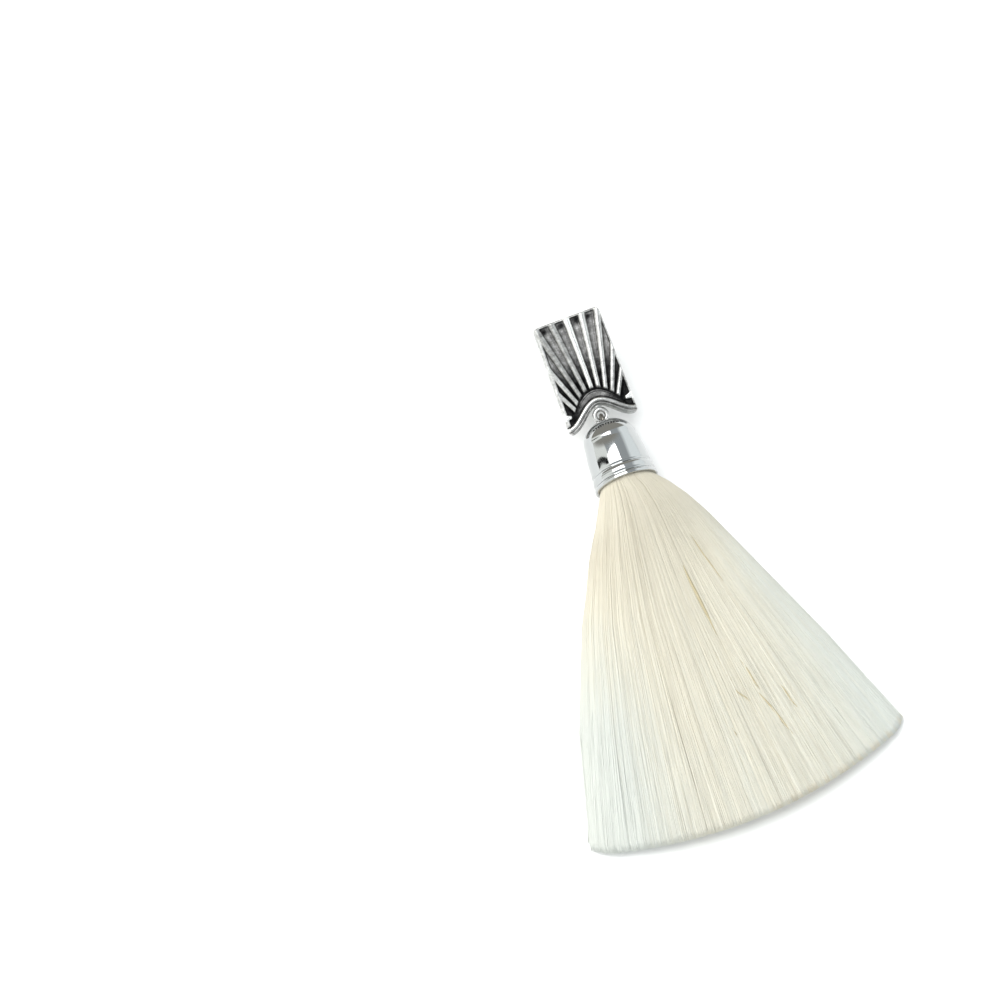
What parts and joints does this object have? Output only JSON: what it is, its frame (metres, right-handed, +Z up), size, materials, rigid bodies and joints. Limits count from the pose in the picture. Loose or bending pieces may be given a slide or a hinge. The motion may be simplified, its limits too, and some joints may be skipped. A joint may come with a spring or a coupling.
{
  "type": "tassel earring",
  "caption": "Drop earring lying face up: a rectangular cast plate stud with raised rays and an arched foot, an eye pin, a bright bell cap and a long fanned tassel.",
  "frame": {"origin": "root of the ear post, on the post's axis at the underside of its pad", "axes": "+Y from the tassel towards the plate's top edge, +Z up from the surface it lies on, +X to the right when seen from above with the plate at the top"},
  "size_m": [0.0471, 0.0787, 0.011],
  "materials": {
    "antiqued_silver": "cast silver tone, dark in the hollows, worn bright on the ridges",
    "post_metal": "plain satin",
    "wire": "polished",
    "bright_silver": "mirror polished",
    "ivory_fibre": "fine straight ivory fibres, slightly translucent"
  },
  "bodies": {
    "root": {"stud_plate": "antiqued_silver", "ear_post": "post_metal", "eye_pin": "wire", "tassel_cap": "bright_silver", "tassel": "ivory_fibre"}
  },
  "joints": []
}
